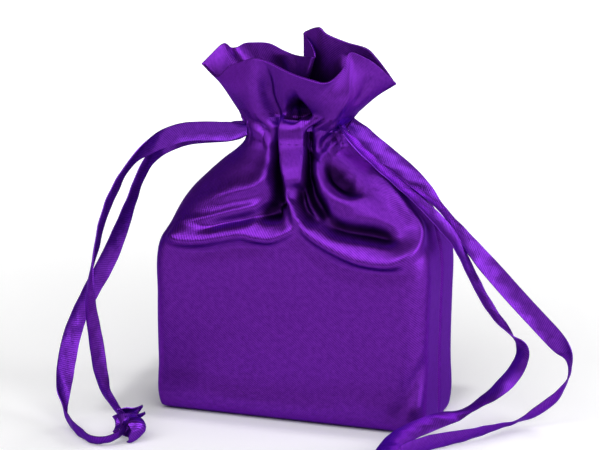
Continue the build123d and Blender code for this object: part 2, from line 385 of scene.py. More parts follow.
# ---- ribbons
# Routes as in the CAD model, in mm. turns says how far the ribbon is turned about its own line at each
# point, in degrees: at 0 its flat face is towards FACING, at 90 its edge is.
RIBBONS = {
    "left_ribbon_front": dict(
        body="left_drawstring",
        length=0.1276,
        turns=[12, 12, 12, 14, 48, 76, 70, 75, 83, 108, 128, 138, 142, 136, 120, 112],
        route=[
            (-18.4, -3.6, 90.8), (-24.2, -4, 89.8), (-31.8, -5, 89.8), (-40.2, -6, 89), (-47.9, -8, 85.4),
            (-54.3, -12, 80.1), (-58.2, -17, 72.2), (-60.8, -22, 62.5), (-61.8, -26, 52.1),
            (-62.1, -30, 43.3), (-60.7, -33, 35.5), (-58.3, -35, 27.7), (-56.3, -38, 20.9),
            (-53.5, -41, 14.6), (-49.7, -44, 10.4), (-44.4, -46, 5.8),
        ],
    ),
    "left_ribbon_back": dict(
        body="left_drawstring",
        length=0.1573,
        turns=[6, 6, 6, 12, 52, 64, 60, 42, 27, 32, 36, 25, 22, 42, 84, 112, 124, 122, 112, 110],
        route=[
            (-18.4, 3.6, 90.8), (-25.5, 3, 87.8), (-33.4, 1, 87.4), (-41.4, -1, 86.4), (-48.2, -3, 82.6),
            (-52.6, -6, 76.4), (-54.9, -10, 68), (-57.3, -14, 58), (-60.6, -19, 47.6), (-64.3, -23, 39.6),
            (-66.9, -27, 33), (-68.5, -31, 25.4), (-68.8, -35, 17.6), (-68.4, -38.4, 10.2),
            (-66.6, -41.8, 4.2), (-62.4, -46.6, 2.4), (-56.8, -52.4, 2.2), (-50.6, -57.4, 2.2),
            (-44.8, -56.4, 3), (-43.6, -49.6, 4.1),
        ],
    ),
    "right_ribbon_front": dict(
        body="right_drawstring",
        length=0.1701,
        turns=[64, 66, 66, 66, 62, 52, 58, 60, 60, 62, 76, 118, 132, 138, 120, 104, 130, 142, 142, 140, 140],
        route=[
            (12.4, -3.6, 94.8), (16.2, -6, 91.2), (21.8, -8.4, 87.2), (28.4, -9.4, 82.4),
            (36.6, -9.8, 76.2), (44.4, -8, 69), (49.6, -4, 61), (52.9, -2, 53.2), (56.4, -1, 45.2),
            (60.7, 0, 37.8), (66.3, 0, 31.6), (71.2, 0.4, 27.1), (70.4, 0, 21.1), (65.9, -2, 14.6),
            (60.3, -6, 9.9), (55.2, -13, 7.8), (50.4, -21, 7.9), (45.4, -28.4, 7.2), (41.8, -36, 6.6),
            (40.2, -44.6, 6.2), (40.6, -54.4, 5.6),
        ],
    ),
    "right_ribbon_back": dict(
        body="right_drawstring",
        length=0.1918,
        turns=[14, 14, 12, 14, 40, 66, 56, 30, 8, 2, 0, -16]
        + [-76, -100, -122, -120, -98, -118, -130, -140, -144, -144, -144],
        route=[
            (12.4, 3.6, 94.8), (17.2, 3, 90.2), (23.4, 2.6, 85.8), (30, 2.6, 81), (36, 2.6, 76.2),
            (41.8, 2.2, 70.8), (47.2, 2, 64.8), (53.8, 2, 57), (60.2, 2, 50.2), (67.5, 2.2, 42.5),
            (74.5, 3, 35.2), (80.8, 4, 28.5), (85.2, 5, 22), (83.7, 5.4, 14.5), (79.2, 4, 8.2),
            (73.4, 0.4, 4.4), (67.6, -7, 3.4), (61.9, -15.6, 3.3), (55.8, -23.2, 3.5), (49.3, -29.8, 3.4),
            (44.6, -37, 3.2), (42, -45.4, 3), (42.8, -54.8, 3.2),
        ],
    ),
}


def spline_line(route):
    """Points in mm along the NURBS spline that has the route's points as its control points."""
    curve = bpy.data.curves.new("route", "CURVE")
    curve.dimensions = "3D"
    curve.resolution_u = 12
    spline = curve.splines.new("NURBS")
    spline.points.add(len(route) - 1)
    for point, place in zip(spline.points, route):
        point.co = (place[0] * MM, place[1] * MM, place[2] * MM, 1.0)
    spline.order_u = 3
    spline.use_endpoint_u = True
    holder = bpy.data.objects.new("route", curve)
    bpy.context.scene.collection.objects.link(holder)
    bpy.context.view_layer.update()
    mesh = bpy.data.meshes.new_from_object(holder)
    line = np.array([vertex.co for vertex in mesh.vertices]) / MM
    bpy.data.objects.remove(holder)
    bpy.data.meshes.remove(mesh)
    return line


def unit(vectors):
    """Vectors scaled to length 1."""
    return vectors / np.maximum(np.linalg.norm(vectors, axis=-1, keepdims=True), 1e-9)


def ribbon_strip(name, line, wide, width, curl=0.6, ripple=0.0, taper=None):
    """A woven ribbon along a line. wide is the direction of its width at each point.

    curl is how far its middle stands out, ripple the size of its small waves, and taper its share of the
    full width at each point.
    """
    tangent = unit(np.gradient(line, axis=0))
    wide = unit(wide - tangent * (wide * tangent).sum(axis=1, keepdims=True))
    face = np.cross(tangent, wide)
    lengths = lengths_along(line)
    across = np.linspace(-1.0, 1.0, 11)
    taper = np.ones(len(line)) if taper is None else taper
    grid = []
    for index, point in enumerate(line):
        half = width / 2 * taper[index]
        wave = ripple * (
            math.sin(lengths[index] / 1.9) * math.cos(lengths[index] / 5.3)
            + 0.5 * np.sin(lengths[index] / 1.1 + 2.2 * across)
        )
        lift = curl * (1 - across**2) + wave * (1 - 0.4 * across**2)
        grid.append(point + half * across[:, None] * wide[index] + lift[:, None] * face[index])
    grid = np.array(grid)
    grid[:, :, 2] = np.maximum(grid[:, :, 2], FLOOR_CLEAR + RIBBON_CLOTH / 2)
    rows, columns = grid.shape[:2]
    uvs = np.stack([np.tile(across * width / 2 * MM, rows), np.repeat(lengths * MM, columns)], axis=1)
    strip = smooth_mesh(name, grid.reshape(-1, 3), grid_faces(rows, columns), RIBBON, uvs)
    thicken(strip, RIBBON_CLOTH, 0.0)
    for vertex in strip.data.vertices:
        vertex.co.z = max(vertex.co.z, FLOOR_CLEAR / 2 * MM)
    return strip


def add_ribbon(name, facts):
    """One free strand of a drawstring, from the casing, where it is bunched, to its knot."""
    line = spline_line(facts["route"])
    tangent = unit(np.gradient(line, axis=0))
    level = unit(np.cross(tangent, np.array(FACING)))
    turned = np.cross(level, tangent)
    known = np.arange(len(facts["turns"]))
    turns = np.radians(spread_rows(facts["turns"], known, np.linspace(0.0, known[-1], len(line))))
    wide = np.cos(turns)[:, None] * level + np.sin(turns)[:, None] * turned
    bunched = np.interp(lengths_along(line), [0.0, 1.5, 6.0], [0.55, 0.62, 1.0])
    strip = ribbon_strip(name + "_satin", line, wide, RIBBON_WIDTH, ripple=0.16, taper=bunched)
    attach(strip, facts["body"])
    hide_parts(name)
    return strip, line


ribbons = {}
for name, facts in RIBBONS.items():
    ribbons[name] = add_ribbon(name, facts)


# ---- the cloth of the bag
HALF_COLUMNS = 261  # points across one panel, from the left seam to the right seam
ROWS = 236
NECK_HEIGHT = 92.6  # where the gathered neck is narrowest
SLIT_LOW, SLIT_HIGH = CASING_BOTTOM + 0.9, CASING_TOP - 0.9


def half_outline(half_width, half_depth, left_corner, right_corner, middle, oval, side):
    """Half of a rounded rectangle, from the left seam to the right seam. side is -1 at the front.

    oval mixes in an ellipse of the same size, from 0 to 1.
    """
    points = [(-half_width, 0.0)]
    for centre_x, centre_y, radius, first in (
        (-half_width + left_corner, half_depth - left_corner, left_corner, 180.0),
        (half_width - right_corner, half_depth - right_corner, right_corner, 90.0),
    ):
        for step in range(13):
            angle = math.radians(first - 90.0 * step / 12)
            points.append((centre_x + radius * math.cos(angle), centre_y + radius * math.sin(angle)))
    points.append((half_width, 0.0))
    line = resample(points, HALF_COLUMNS)
    turn = np.linspace(math.pi, 0.0, 181)
    ellipse = np.stack([half_width * np.cos(turn), half_depth * np.sin(turn)], axis=1)
    line = (1 - oval) * line + oval * resample(ellipse, HALF_COLUMNS)
    return np.stack([line[:, 0] + middle, side * line[:, 1]], axis=1)


# Each level: length of cloth from the base seam, height, half width, half depth, left and right corner
# radii, the middle's x, and how oval it is.
LEVELS = [
    (0, 0.25, 42, 0.6, 0.5, 0.5, 0, 0),
    (8, 0.2, 43, 8, 2, 2, 0, 0),
    (13.6, 0.2, 43.4, 14, 1.5, 3.5, 0, 0),
    (17.6, 1.2, 43.8, 17.5, 2, 4.5, 0, 0),
    (21.8, 4.3, 44, 19.8, 2.5, 5.5, 0, 0),
    (38, 18, 44.1, 20.2, 4, 7, 0, 0),
    (58, 38, 44.1, 20.4, 4, 7.5, 0, 0),
    (74, 53.5, 44, 20.5, 4, 8, 0, 0),
    (77.5, 57, 43.6, 20.6, 5, 8, 0, 0.05),
    (80.6, 60, 42.9, 20.5, 7, 8.5, 0, 0.2),
    (85.2, 64.4, 41.6, 19.9, 11, 9, 0.2, 0.4),
    (92, 70, 38.2, 18.5, 14, 9.5, 0.6, 0.5),
    (99, 75.4, 33.3, 16.7, 15, 9.5, 1, 0.6),
    (106.5, 80.6, 27.2, 14.4, 13, 9, 0.4, 0.75),
    (112, 84.2, 21.8, 12.4, 11, 9, -0.7, 0.9),
    (116.5, 87.2, 17.6, 10.8, 8.5, 8.5, -2.6, 1),
    (119.6, 90, 16.3, 9.9, 8, 8, -3.4, 1),
    (122, 92.4, 16.4, 9.8, 8, 8, -3.5, 1),
    (125.4, 95.4, 18.4, 10.3, 8, 8, -3.6, 1),
    (129.2, 98.4, 20.7, 11, 8, 8, -3.7, 1),
]


def normals_of(points, side=-1):
    """Outward normals of a grid whose rows run up the cloth and whose columns run from left to right."""
    across = np.gradient(points, axis=1)
    up = np.gradient(points, axis=0)
    normal = np.cross(across, up) * -side
    length = np.linalg.norm(normal, axis=2, keepdims=True)
    return normal / np.maximum(length, 1e-9)


def base_panel(side):
    """One panel before its folds: an array of rows, columns and x, y, z."""
    rings = []
    for _, height, half_width, half_depth, left, right, middle, oval in LEVELS:
        flat = half_outline(half_width, half_depth, left, right, middle, oval, side)
        rings.append(np.column_stack([flat, np.full(len(flat), height)]))
    lengths = [level[0] for level in LEVELS]
    return spread_rows(rings, lengths, np.linspace(0.0, lengths[-1], ROWS))


def pleat_depth(position, valleys, flatness):
    """How deep each position lies in the pleats, in mm. valleys are (position, depth) pairs."""
    depth = np.zeros_like(position)
    for (start, before), (end, after), power in zip(valleys[:-1], valleys[1:], flatness):
        inside = (position >= start) & (position <= end)
        t = (position[inside] - start) / (end - start)
        depth[inside] = np.abs(2 * t - 1) ** power * np.where(t < 0.5, before, after)
    return depth


def ease(values, start, full):
    """0 before start, 1 after full, eased between."""
    t = np.clip((values - start) / (full - start), 0, 1)
    return t * t * (3 - 2 * t)


def along_route(values, along):
    """A value or a list of values, spread evenly along a route."""
    values = np.atleast_1d(np.asarray(values, float))
    return np.interp(along, np.linspace(0, 1, len(values)), values)


def press(points, normals, route, height, above, below=None, flat=0.0, sag=0.0, fade=(0.3, 0.3)):
    """Raise or press the cloth along a fold line.

    route holds (x, z) or (x, y, z) places on the panel. height is how far the fold stands out, in mm.
    above and below are the radii of its two sides, seen along the route with the outside up. flat is the
    half width of a flat top. Each of these may be a list, spread along the route. sag lowers the fold, and
    it fades over those parts of its two ends.
    """
    below = above if below is None else below
    cloth = points.reshape(-1, 3)
    outward = normals.reshape(-1, 3)
    snapped = []
    for place in route:
        axes = [0, 2] if len(place) == 2 else [0, 1, 2]
        gap = ((cloth[:, axes] - np.array(place)) ** 2).sum(axis=1)
        gap[cloth[:, 2] < 1.0] += 1e6
        snapped.append(cloth[int(np.argmin(gap))])
    line = through(snapped, 6 * len(snapped))
    reach = 3.2 * max(np.max(above), np.max(below)) + np.max(flat)
    near = ((cloth > line.min(axis=0) - reach) & (cloth < line.max(axis=0) + reach)).all(axis=1)
    cloth, outward = cloth[near], outward[near]
    starts, ends = line[:-1], line[1:]
    nearest = np.full(len(cloth), 1e9)
    along = np.zeros(len(cloth))
    signed = np.zeros(len(cloth))
    for index, (start, end) in enumerate(zip(starts, ends)):
        run = end - start
        length = np.linalg.norm(run)
        direction = run / length
        t = np.clip((cloth - start) @ direction, 0, length)
        offset = cloth - start - t[:, None] * direction
        distance = np.linalg.norm(offset, axis=1)
        nearer = distance < nearest
        nearest[nearer] = distance[nearer]
        along[nearer] = (index + t[nearer] / length) / len(starts)
        signed[nearer] = (np.cross(outward[nearer], direction) * offset[nearer]).sum(axis=1)
    radius = np.where(signed > 0, along_route(above, along), along_route(below, along))
    weight = np.exp(-((np.maximum(nearest - along_route(flat, along), 0) / radius) ** 2))
    weight *= ease(along, -0.3 * fade[0], fade[0]) * ease(1 - along, -0.3 * fade[1], fade[1])
    lift = np.zeros(len(near))
    lift[near] = weight * along_route(height, along)
    drop = np.zeros(len(near))
    drop[near] = weight * sag
    moved = points + normals * lift.reshape(points.shape[:2] + (1,))
    moved[:, :, 2] -= drop.reshape(points.shape[:2])
    return moved


def relaxed(points, rounds, strength):
    """The grid smoothed a little inside its edges, as cloth evens out its own kinks."""
    for _ in range(rounds):
        inner = points[1:-1, 1:-1]
        mean = (points[:-2, 1:-1] + points[2:, 1:-1] + points[1:-1, :-2] + points[1:-1, 2:]) / 4
        points[1:-1, 1:-1] = inner + (mean - inner) * strength
    return points


# Where the neck's pleats fold in, as a part of the panel's width, and how deep in mm.
FRONT_VALLEYS = [
    (0, 0.4), (0.15, 0.6), (0.30, 0.7), (0.42, 2.4), (0.66, 2.8), (0.77, 0.8), (0.89, 0.7), (1, 0.4),
]
FRONT_FLATNESS = [2.2, 2.2, 2.2, 9, 2.2, 2.2, 2.2]
BACK_VALLEYS = [
    (0, 0.5), (0.12, 1.6), (0.25, 2.2), (0.37, 2.8), (0.50, 2.4), (0.63, 2.8), (0.76, 2.2), (0.89, 1.6),
    (1, 0.5),
]
BACK_FLATNESS = [2.2] * 8


def fold_line(route, height, above, below=None, **more):
    """The settings that press needs for one fold."""
    return dict(route=route, height=height, above=above, below=below, **more)


# The folds of the front, from the large shapes to the small ones. Routes run from left to right or upwards.
FRONT_FOLDS = [
    # the right swag: a loop whose lower rim hangs over the front, and whose right side is the broad shoulder
    fold_line([(2, 67.5), (8, 63), (15.5, 59), (24.5, 56.5), (34, 56.5), (39.5, 60), (39, 66), (33.5, 73),
        (25.5, 81), (21, 84.5)], [1.6, 2.2, 2.4, 2.4, 2.4, 2.2, 2.4, 2.8, 2.8, 1.6],
        [2.4, 3.2, 3.8, 4, 3.6, 3, 2.4, 2.6, 2.8, 2.6], [1.2, 1.2, 1.2, 1.2, 1.4, 2.2, 3.2, 4.4, 5, 4],
        sag=0.5, fade=(0.08, 0.2)),
    fold_line([(11.5, 67.5), (15, 66), (20, 65), (26.5, 64.5), (32, 64), (35.5, 65)],
        [-3, -3.6, -4.2, -3.4], 3.2, 2, fade=(0.2, 0.2)),
    fold_line([(35.5, 66), (32.5, 70), (28.5, 74), (24.5, 77.5), (20, 80.5)], -0.6, 3.4),
    # the ridge that curls inside it, and the hollow it goes round
    fold_line([(6.5, 87), (7, 83.5), (8.5, 80), (10.5, 77), (14, 74.5), (18.5, 73.5), (23, 73)],
        [0.8, 1.2, 1.2, 1, 0.8], 1.8, fade=(0.15, 0.3)),
    fold_line([(11, 86.5), (11.5, 83.5), (13, 80.5), (16, 78), (19.5, 77), (23.5, 77)],
        [-3.6, -4, -3.8, -3], 5, 1.8, fade=(0.35, 0.4)),
    # the centre pleat, flat-topped, running out into a thin edge at its foot
    fold_line([(-2, 97), (-2, 91), (-1, 85), (0.5, 79.5), (1, 76.5)], [1.4, 1.6, 2.2, 2.6, 2.2], 0.9,
        flat=[3.6, 3.7, 3.6, 3, 2], fade=(0.02, 0.1)),
    fold_line([(-2, 76.5), (-0.5, 73.5), (1, 71.5), (2, 68.5), (3.5, 66)], [1.6, 2.2, 2.2, 1.6], 1, 1.2,
        fade=(0.3, 0.2)),
    # the deep hollows at each side of it
    fold_line([(3.5, 93.5), (4, 86.5), (4.5, 81.5), (5.5, 79), (7, 75.5), (9.5, 72), (12.5, 68.5),
        (15.5, 66)], [-3, -4.5, -5.5, -5, -3.2], [1.2, 1.8, 2, 2], [0.9, 1, 3, 3], fade=(0.1, 0.3)),
    fold_line([(3, 78.5), (3, 75.5), (4, 72), (6.5, 69), (10, 66)], [-2, -3.4, -3, -2], 1.6, 1.9,
        fade=(0.2, 0.3)),
    fold_line([(-6.5, 91), (-6, 86.5), (-5.5, 82.5), (-4.5, 79), (-3.5, 76), (-2.5, 73), (-2, 70.5)],
        [-3, -4.5, -5.5, -6], [0.8, 0.8, 0.9, 1.4], [1.2, 2, 2.6, 4], fade=(0.15, 0.1)),
    fold_line([(-11.5, 67.5), (-8, 68), (-5, 69), (-2.5, 69.5)], [-2, -4, -5], 3.4, 2.4, fade=(0.5, 0.1)),
    # the left swag: a broad band that ends in the foot of the pleat, and a thin ridge over it
    fold_line([(-40.5, 58), (-35, 57.5), (-28.5, 58), (-24, 59), (-20, 60), (-15, 61), (-10, 61),
        (-5.5, 61), (-2.5, 62), (0.5, 63.5), (2.5, 66)], [2.2, 2.4, 2.2, 2, 2, 2, 1.8],
        [4.2, 4.4, 4, 3.4, 3.2, 3, 2], 1.3, sag=0.4, fade=(0.06, 0.08)),
    fold_line([(-31, 61.5), (-25.5, 63), (-21, 64.5), (-16, 66), (-12, 67), (-8.5, 68)],
        [-0.6, -1.2, -1.6, -1.8, -1.6], 1.2, 1.6),
    fold_line([(-39, 62.5), (-34.5, 63.5), (-29.5, 64.5), (-24.5, 66), (-19, 67.5), (-14.5, 69),
        (-10, 70.5), (-7.5, 72)], [0.5, 0.8, 0.9, 0.8], 1.4, 1, fade=(0.15, 0.2)),
    # faint ridge over the left shoulder, down from the neck
    fold_line([(-8.5, 87.5), (-8, 82.5), (-8.5, 78.5), (-12, 75.5), (-19, 73.5), (-27, 70.5), (-34, 67.5)],
        [1.2, 2, 1.8, 1.2, 0.8, 0.6], [1.2, 1.2, 1.6, 2, 2], [3.4, 4, 4, 3, 2.4]),
    # the gathered neck: slanting creases on both sides of the pleat
    fold_line([(-18.5, 93), (-14, 92), (-11, 89.5), (-9, 87.5), (-8.5, 84.5)], 0.9, 0.9, 1.4,
        fade=(0.05, 0.3)),
    fold_line([(-18, 95), (-12.5, 93.5), (-8.5, 91.5)], -0.9, 1.3, 0.8, fade=(0.1, 0.2)),
    fold_line([(5.5, 89.5), (7, 92), (10, 95), (13.5, 97.5)], 1.4, 1.3, 1.2),
    fold_line([(6.5, 86.5), (8.5, 90), (11.5, 92.5), (15, 94.5)], -1.4, 1),
    fold_line([(8, 84.5), (10, 87.5), (12.5, 90), (15, 91.5)], 1.2, 1.3),
    # shallow dips under both swags, and slack at the lower right corner
    fold_line([(-37, 55), (-28, 55), (-18, 57), (-8, 58), (-2, 59)], -0.7, 1.3, 2.6),
    fold_line([(4.5, 61), (11, 57), (17.5, 54.5), (24, 53), (32, 53), (39, 54.5)], -0.7, 1.2, 2.4),
    fold_line([(33, -20, 4), (38.5, -19, 12), (42.5, -15, 26)], -1.1, 2.6),
    # the front's foot stands out a little under a broad slack dip
    fold_line([(-30, 13), (-14, 12), (4, 11.5), (20, 11)], -1.2, 11, 5),
    # the frill: a hollow over the pleat, the valley beside it and the sharp crease on the right
    fold_line([(-5, 97), (-3, 97), (-1, 97), (1.5, 97.5), (4, 98)], [-2.2, -3.4, -4.4, -5, -4.2],
        [3, 4.6, 5.4, 5, 3.4], 0.5, fade=(0.2, 0.2)),
    fold_line([(-7, 94), (-7.5, 98.5), (-9, -7.5, 103.5), (-9, -9.5, 109), (-9.5, -11.5, 113.5)],
        [-1.2, -1.6, -1.4, -1], [1.2, 2.6, 3, 3], 0.8, fade=(0.1, 0.4)),
    fold_line([(13, -10, 98.5), (16, -11, 103), (17, -11, 106.5), (17, -10, 112.5), (16.5, -8.5, 118)],
        0.5, 1.2, 0.5, fade=(0.3, 0.2)),
    fold_line([(18.5, -7.5, 101), (20.5, -6.5, 106), (22, -6, 112)], -1, 1.8, 2),
]

# The back isn't as neat: three swags of its own. Its routes run from right to left.
BACK_FOLDS = [
    fold_line([(38, 63.5), (28, 60.5), (17, 60), (6, 63), (-1, 68.5), (-2.5, 76)], 2.9, 1.9, 1.5, sag=0.5),
    fold_line([(30, 65), (18, 64.5), (8, 68), (3, 74)], -2, 1.9),
    fold_line([(34, 70), (22, 72.5), (13, 77), (9, 84)], 1.7, 2.2),
    fold_line([(-4, 74), (-9, 66), (-18, 62), (-29, 62), (-38.5, 65)], 2.7, 1.8, 1.5, sag=0.4),
    fold_line([(-10, 70.5), (-18, 66.5), (-28, 66), (-35, 68.5)], -1.7, 1.7),
    fold_line([(-12, 82), (-18, 75), (-27, 72), (-34, 71.5)], 1.4, 2),
    fold_line([(1, 88), (0, 80), (-2, 72)], -2.4, 1.6),
    fold_line([(32, 56.5), (18, 55.5), (5, 58.5), (-10, 58.5), (-28, 57.5)], -0.7, 2.2),
    fold_line([(-11, 9, 99), (-12, 10.5, 106), (-12.5, 12, 112)], 1.3, 2.2),
    fold_line([(6, 9, 99), (8.5, 10, 106), (10, 10, 114)], -1.5, 2),
    fold_line([(12, 8, 99), (15, 8, 106), (18, 8, 114)], 1.2, 1.6),
]


# The frill's lines, from the left seam to the right one: its foot on the front's side, seen from above, then
# its middle and its rim on both sides. The nth places of two lines of one side lie on one ruffle.
FRONT_NECK = [
    (-24.4, 0), (-22.5, -3.5), (-19.5, -6), (-16, -9), (-13, -9.5), (-8.5, -6.5), (-4.5, -7), (0.5, -7.5),
    (5, -9), (8.5, -10), (11, -10.5), (13, -10), (15, -7), (16, -4), (17, 0),
]
FRONT_MIDDLE = [
    (-28, 0, 104), (-26, -4.5, 104), (-22.5, -7.5, 104.5), (-18.5, -10, 105), (-14, -11.5, 105),
    (-9, -8.5, 104.5), (-4.5, -10, 104.5), (0.5, -11, 104), (6, -12, 104), (10.5, -12.5, 104.5),
    (14, -12.5, 105.5), (17, -11, 106), (19, -8, 105.5), (21, -5, 105), (22.5, 0, 103.5),
]
FRONT_RIM = [
    (-35, 0, 110), (-28, -5.5, 107.5), (-22.5, -8.5, 112), (-16.5, -11.5, 115), (-13, -13, 116),
    (-9.5, -12, 115), (-1.5, -14, 112.5), (5, -15, 111), (10, -14.5, 110), (12.5, -12.5, 111),
    (15, -10, 114.5), (16.5, -8.5, 119), (20.5, -7, 117.5), (24.5, -5, 114.5), (29, 0, 108),
]
BACK_RIM = [
    (-35, 0, 110), (-31, 6, 115), (-30, 8, 115), (-29, 9.5, 113.5), (-27, 11, 113.5), (-24.5, 11.5, 115),
    (-22, 11.5, 115.5), (-16.5, 12, 115.5), (-11.5, 12, 113.5), (-7, 11, 112.5), (-1, 8, 113),
    (-0.5, 8.5, 114.5), (-3, 11, 117.5), (-5.5, 13, 119), (-4, 13.5, 120), (0.5, 11, 122), (3.5, 10.5, 120),
    (10, 10, 118), (17, 8, 117), (21, 6, 114.5), (25, 3, 111.5), (29, 0, 108),
]
BACK_MIDDLE = [
    (-28, 0, 104), (-26.5, 4.5, 105.5), (-24.5, 6.5, 105.5), (-22.5, 7, 105), (-20.5, 8.5, 105),
    (-18.5, 9.5, 105.5), (-16.5, 10, 106), (-13, 10.5, 105.5), (-10, 10, 105), (-6.5, 9, 105),
    (-3, 7.5, 105), (-2.5, 8, 105.5), (-3, 9.5, 106), (-4, 10.5, 106.5), (-2.5, 11, 107), (0.5, 10.5, 107),
    (3, 9.5, 107), (8, 9.5, 106), (13, 8.5, 106), (16.5, 7, 105), (20, 4, 104), (22.5, 0, 103.5),
]
PANEL_TOP = LEVELS[-1][1]
FRILL_ROWS = 70
FRILL_MIDDLE = 0.42  # how far up the frill its middle line is


def whole_sheet(side, neck, middle, rim):
    """The panel and the frill as one sheet, from the base seam to the waved rim, before its folds."""
    points = base_panel(side)
    lengths = lengths_along(rim)
    share = np.interp(np.linspace(0, lengths[-1], HALF_COLUMNS), lengths, np.arange(len(rim)))
    top, fold = (spread_rows(line, np.arange(len(line)), share) for line in (rim, middle))
    if neck:
        level = [(x, y, PANEL_TOP) for x, y in neck]
        waved = spread_rows(level, np.arange(len(level)), share)
        flare = ease(points[:, :, 2], NECK_HEIGHT, FRILL_BOTTOM)[:, :, None]
        points = points + (waved - points[-1])[None] * flare
    frill = spread_rows([points[-1], fold, top], [0.0, FRILL_MIDDLE, 1.0], np.linspace(0.0, 1.0, FRILL_ROWS))
    return np.concatenate([points, frill[1:]])


# Across a panel, the heights where its pleats begin, and the height where they are all full.
PLEATS_ACROSS = [0.0, 0.3, 0.46, 0.62, 1.0]
PLEATS_FROM = [86.0, 86.0, 79.0, 83.0, 85.0]
PLEATS_FULL = 89.5
SLACK = 0.32  # how far the cloth waves over the whole bag
SEAM_DENT, SEAM_WIDTH = 0.55, 0.008  # in mm and as a part of the panel's width
SLIT_GAP, SLIT_WIDTH = 2.0, 0.03


def folded_sheet(side, neck, middle, rim, valleys, flatness, folds):
    """One side of the bag with its neck pleats, its folds and the ribbon slits in its seams."""
    points = whole_sheet(side, neck, middle, rim)
    smooth_normals = normals_of(points, side)
    position = np.linspace(0.0, 1.0, HALF_COLUMNS)
    height = points[:, :, 2]
    pleats_from = np.interp(position, PLEATS_ACROSS, PLEATS_FROM)[None, :]
    gather = ease(height, pleats_from, PLEATS_FULL) * (1 - ease(height, NECK_HEIGHT, FRILL_BOTTOM + 1.0))
    depth = pleat_depth(position, valleys, flatness)
    inward = smooth_normals.copy()
    inward[:, :, 2] *= 0.3
    pleated = points - inward * (depth[None, :] * gather)[:, :, None]
    for fold in folds:
        pleated = press(pleated, smooth_normals, **fold)
    x = points[:, :, 0]
    slack = SLACK * np.sin(x / 15.0 + height / 21.0) * np.cos(height / 13.0 - x / 40.0)
    slack *= ease(height, 2.0, 12.0) * (1 - ease(height, 84.0, 90.0))
    pleated += smooth_normals * slack[:, :, None]
    pleated = relaxed(pleated, 4, 0.5)
    # painted shade: the deeper the cloth is pressed into a fold, the darker it is painted, above the filled
    # part
    painted_shade = ease(((points - pleated) * smooth_normals).sum(axis=2), CREASE_STARTS, CREASE_FULL)
    painted_shade *= ease(height, *PAINTED_SHADE_FROM)
    edge = np.minimum(position, 1 - position)
    sewn = ease(height, 1.0, 6.0) * (1 - ease(height, 84.0, 88.0)) * np.exp(-((edge / SEAM_WIDTH) ** 2))
    pleated -= smooth_normals * (SEAM_DENT * sewn)[:, :, None]
    opening = np.sin(np.pi * np.clip((height - SLIT_LOW) / (SLIT_HIGH - SLIT_LOW), 0, 1))
    pleated[:, :, 1] += side * SLIT_GAP * opening * np.exp(-((edge / SLIT_WIDTH) ** 2))
    pleated[:, :, 2] = np.maximum(pleated[:, :, 2], FLOOR_CLEAR / 2)
    return np.dstack([pleated, painted_shade])


def sheet_grid(points, name, material, width, length):
    """A grid of points as a sheet with UVs that measure its flat cloth, in metres.

    A fourth number at each point is its painted shade, from 0 to 1: how deep it lies in a crease.
    """
    rows, columns = points.shape[:2]
    u = np.linspace(0.0, width * MM, columns)
    v = np.linspace(0.0, length * MM, rows)
    uvs = np.stack(np.meshgrid(u, v), axis=2).reshape(-1, 2)
    made = smooth_mesh(name, points[:, :, :3].reshape(-1, 3), grid_faces(rows, columns), material, uvs)
    if points.shape[2] > 3:
        painted_shade = made.data.attributes.new("painted_shade", "FLOAT", "POINT")
        painted_shade.data.foreach_set("value", points[:, :, 3].astype(np.float32).ravel())
    return made


FLAT_WIDTH = 2 * (HALF_WIDTH + HALF_DEPTH)
PANEL_LENGTH = LEVELS[-1][0]
PANEL_CLOTH = 0.35

front_lines = (FRONT_NECK, FRONT_MIDDLE, FRONT_RIM)
front_sheet = folded_sheet(-1, *front_lines, FRONT_VALLEYS, FRONT_FLATNESS, FRONT_FOLDS)
back_sheet = folded_sheet(1, None, BACK_MIDDLE, BACK_RIM, BACK_VALLEYS, BACK_FLATNESS, BACK_FOLDS)
front_points, back_points = front_sheet[:ROWS, :, :3], back_sheet[:ROWS, :, :3]
front_cloth = sheet_grid(front_sheet[:ROWS], "front_cloth", CLOTH, FLAT_WIDTH, PANEL_LENGTH)
back_cloth = sheet_grid(back_sheet[:ROWS, ::-1], "back_cloth", CLOTH, FLAT_WIDTH, PANEL_LENGTH)
for cloth, panel in ((front_cloth, "front_panel"), (back_cloth, "back_panel")):
    thicken(cloth, PANEL_CLOTH)
    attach(cloth, "bag")
    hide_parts(panel)

# ---- frill
# painted shade inside the bag's mouth, on the frill's inner layer
MOUTH_SHADE = 0.93
FRILL_CLOTH = 0.7
FRILL_LENGTH = 21.0


def paint_shade_inside(thing, rows, columns):
    """Paint shade on a thickened frill's inner layer: the further it is below the rim, the deeper in the
    bag's mouth and the darker.

    The rim itself is turned over and has no sharp edges.
    """
    painted_shade = thing.data.attributes["painted_shade"].data
    values = np.zeros(len(painted_shade), np.float32)
    painted_shade.foreach_get("value", values)
    height = np.repeat(np.linspace(0.0, 1.0, rows), columns)
    inner = slice(rows * columns, 2 * rows * columns)
    values[inner] = np.maximum(values[inner], MOUTH_SHADE * (1 - ease(height, 0.25, 1.0)))
    painted_shade.foreach_set("value", values)
    ends = np.zeros(2 * len(thing.data.edges), int)
    thing.data.edges.foreach_get("vertices", ends)
    at_rim = (ends.reshape(-1, 2) % (rows * columns) >= (rows - 1) * columns).all(axis=1)
    sharp = thing.data.attributes["sharp_edge"].data
    marks = np.zeros(len(sharp), bool)
    sharp.foreach_get("value", marks)
    sharp.foreach_set("value", marks & ~at_rim)


for name, sheet, side in (("front", front_sheet, -1), ("back", back_sheet, 1)):
    grid = sheet[ROWS - 1 :, ::-side]
    frill = sheet_grid(grid, f"{name}_frill_cloth", CLOTH, FLAT_WIDTH, FRILL_LENGTH)
    thicken(frill, FRILL_CLOTH)
    paint_shade_inside(frill, grid.shape[0], grid.shape[1])
    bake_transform(frill)
    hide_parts(f"{name}_frill")

